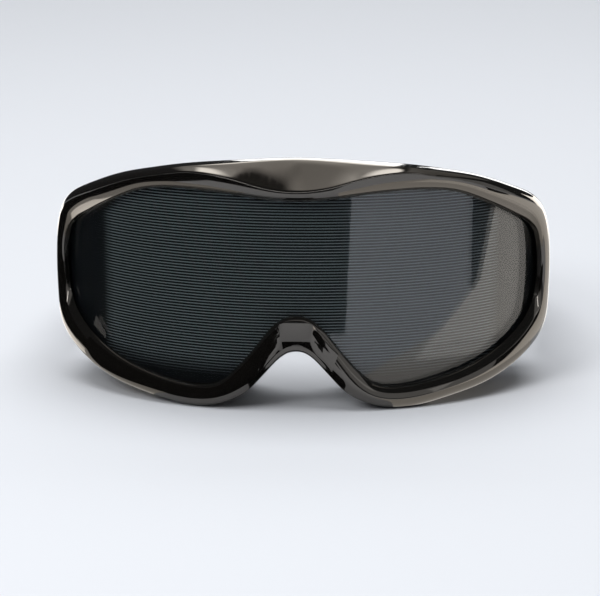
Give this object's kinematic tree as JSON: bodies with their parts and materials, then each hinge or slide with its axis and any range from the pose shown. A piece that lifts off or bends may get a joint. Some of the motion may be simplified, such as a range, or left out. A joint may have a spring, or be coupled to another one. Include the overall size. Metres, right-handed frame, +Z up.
{
  "type": "alcohol impairment goggles",
  "caption": "Wrap-round impairment goggles: gloss frame, tinted shield over a ribbed prism film, soft face seal, head strap on pivoting clips.",
  "frame": {"origin": "middle of the goggles' whole width and length with the strap laid out behind, on the surface they stand on", "axes": "+X to the wearer's left, +Y from the lens back to the strap, +Z up"},
  "size_m": [0.1762, 0.242, 0.084],
  "materials": {
    "frame_gloss": "gloss",
    "bridge_gloss": "gloss",
    "shield_tint": "gloss",
    "prism_film": "satin",
    "gasket_rubber": "matte",
    "skirt_rubber": "satin",
    "face_foam": "matte",
    "vent_plastic": "satin",
    "filter_foam": "matte",
    "lug_plastic": "gloss",
    "pin_steel": "satin",
    "clip_plastic": "satin",
    "strap_webbing": "matte",
    "slider_plastic": "satin"
  },
  "bodies": {
    "goggle": {"front_frame": "frame_gloss", "nose_bridge": "bridge_gloss", "outer_lens": "shield_tint", "prism_film": "prism_film", "lens_gasket": "gasket_rubber", "face_skirt": "skirt_rubber", "face_foam": "face_foam", "brow_vent_left": "vent_plastic", "brow_vent_right": "vent_plastic", "chin_vent_left": "vent_plastic", "chin_vent_right": "vent_plastic", "brow_filter_left": "filter_foam", "brow_filter_right": "filter_foam", "chin_filter_left": "filter_foam", "chin_filter_right": "filter_foam", "strap_lug_left": "lug_plastic", "strap_lug_right": "lug_plastic", "pivot_pin_left": "pin_steel", "pivot_pin_right": "pin_steel", "pivot_washer_left": "pin_steel", "pivot_washer_right": "pin_steel"},
    "head_strap": {"strap_clip_left": "clip_plastic", "strap_clip_right": "clip_plastic", "strap": "strap_webbing", "strap_end_left": "strap_webbing", "strap_end_right": "strap_webbing"},
    "slider_left": {"strap_slider_left": "slider_plastic"},
    "slider_right": {"strap_slider_right": "slider_plastic"}
  },
  "joints": [
    {"name": "strap_swing", "type": "hinge", "parent": "goggle", "child": "head_strap", "pos_m": [0, -0.04, 0.038], "axis": [1, 0, 0], "range_deg": [0, 55]},
    {"name": "slider_left_slide", "type": "slide", "parent": "head_strap", "child": "slider_left", "axis": [0, 0.992, -0.1259], "range_m": [-0.004, 0.02]},
    {"name": "slider_right_slide", "type": "slide", "parent": "head_strap", "child": "slider_right", "axis": [0, 0.992, -0.1259], "range_m": [-0.004, 0.02]}
  ]
}
